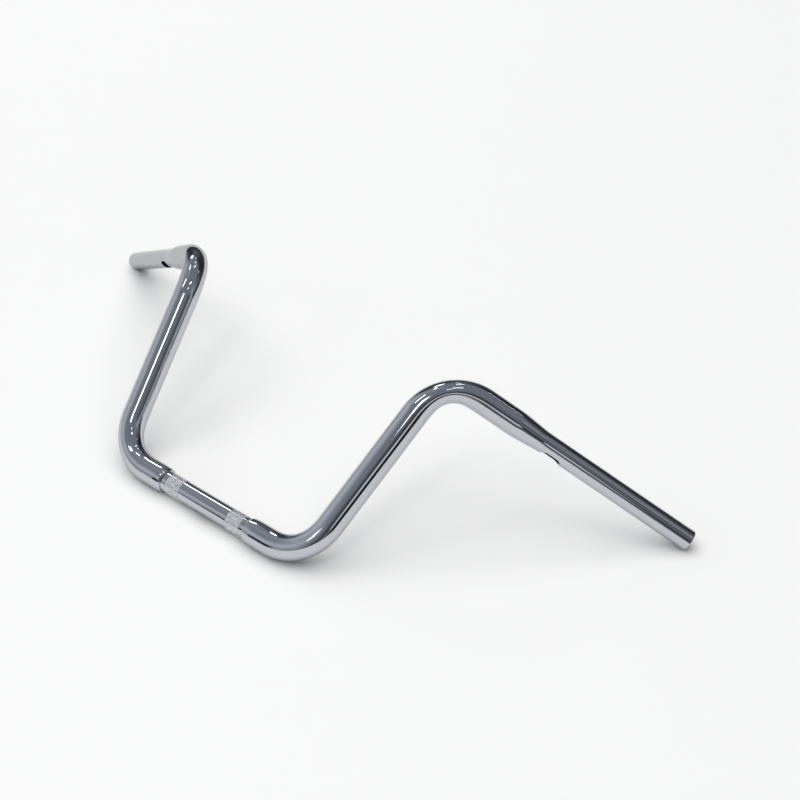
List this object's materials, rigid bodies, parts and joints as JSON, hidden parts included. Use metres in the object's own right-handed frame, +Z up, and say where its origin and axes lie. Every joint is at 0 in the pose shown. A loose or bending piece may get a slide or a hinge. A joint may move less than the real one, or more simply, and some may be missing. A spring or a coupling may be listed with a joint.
{
  "type": "ape hanger handlebar",
  "caption": "Tall motorcycle handlebar of fat bent chromed tube, with a thinner knurled clamp section, swept-back grips swaged down in size and slots for inside wires.",
  "frame": {"origin": "centre of the clamp section, on its axis", "axes": "+X along the clamp section towards the rider's left, +Y towards the rider and the grips, +Z up. The bar lies as it comes to rest on a floor, on its base tube and both bar ends. On a motorcycle it is turned about X until the risers stand up, 49 degrees from here, and the clamps hold it at any angle."},
  "size_m": [0.9322, 0.3443, 0.1829],
  "materials": {
    "chrome_plate": "polished, with knurled clamp bands"
  },
  "bodies": {
    "root": {"handlebar": "chrome_plate"}
  },
  "joints": []
}
